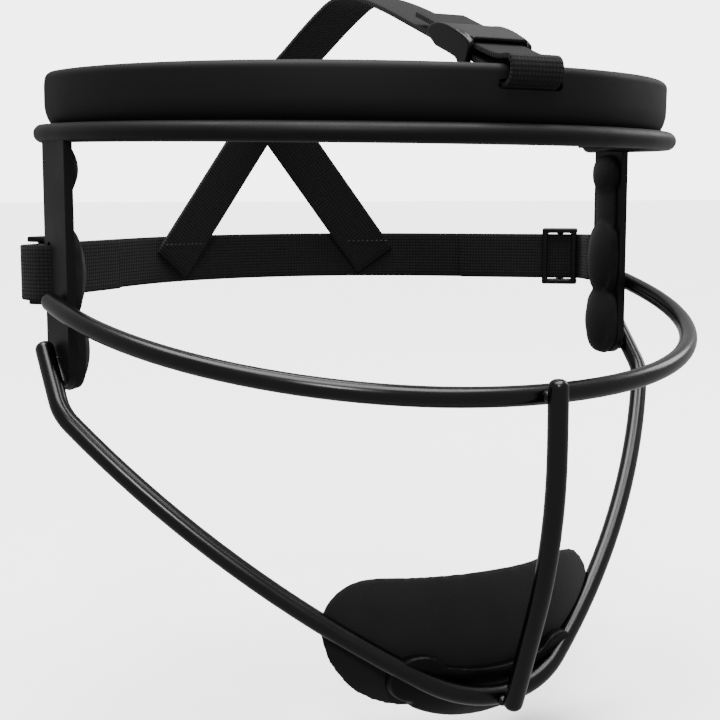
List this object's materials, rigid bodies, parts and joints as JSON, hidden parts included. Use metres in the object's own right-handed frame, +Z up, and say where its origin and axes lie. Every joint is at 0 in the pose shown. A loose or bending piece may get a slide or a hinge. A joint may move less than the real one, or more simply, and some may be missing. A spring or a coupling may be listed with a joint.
{
  "type": "fielder's face mask",
  "caption": "Wire face mask with a padded brow band, side bars with temple pads, a chin cup and adjustable elastic head straps",
  "frame": {"origin": "middle of the head, halfway between the temple pads, level with the rear strap; mount head is there", "axes": "+Z up, the mask faces -Y, +X is the wearer's left"},
  "size_m": [0.186, 0.1616, 0.1827],
  "materials": {
    "shell": "moulded matte black",
    "liner": "closed-cell foam",
    "frame_coat": "matte black powder coat on steel",
    "wire_coat": "gloss black coat on steel",
    "foam": "matte moulded foam",
    "carrier": "matte moulded rubber",
    "webbing": "woven elastic",
    "slider": "moulded gloss black"
  },
  "bodies": {
    "mask": {"brow_shell": "shell", "brow_liner": "liner", "brow_rail": "frame_coat", "side_bar_right": "frame_coat", "side_bar_left": "frame_coat", "eye_wire": "wire_coat", "jaw_wire": "wire_coat", "centre_wire": "wire_coat", "centre_welds": "wire_coat", "bar_welds": "wire_coat", "rail_welds": "frame_coat", "temple_pad_right": "foam", "temple_pad_left": "foam", "chin_cup": "foam", "chin_carrier": "carrier", "rear_strap": "webbing", "diagonal_strap_right": "webbing", "diagonal_strap_left": "webbing", "crown_strap": "webbing"},
    "crown_slider": {"crown_slider": "slider"},
    "rear_slider_right": {"rear_slider_right": "slider"},
    "rear_slider_left": {"rear_slider_left": "slider"}
  },
  "joints": [
    {"name": "crown_slider_slide", "type": "slide", "parent": "mask", "child": "crown_slider", "axis": [0, 0.9336, 0.3584], "range_m": [0, 0.011]},
    {"name": "rear_slider_left_slide", "type": "slide", "parent": "mask", "child": "rear_slider_left", "axis": [-0.7705, 0.6374, 0], "range_m": [0, 0.014]},
    {"name": "rear_slider_right_slide", "type": "slide", "parent": "mask", "child": "rear_slider_right", "axis": [0.7705, 0.6374, 0], "range_m": [0, 0.014]}
  ]
}
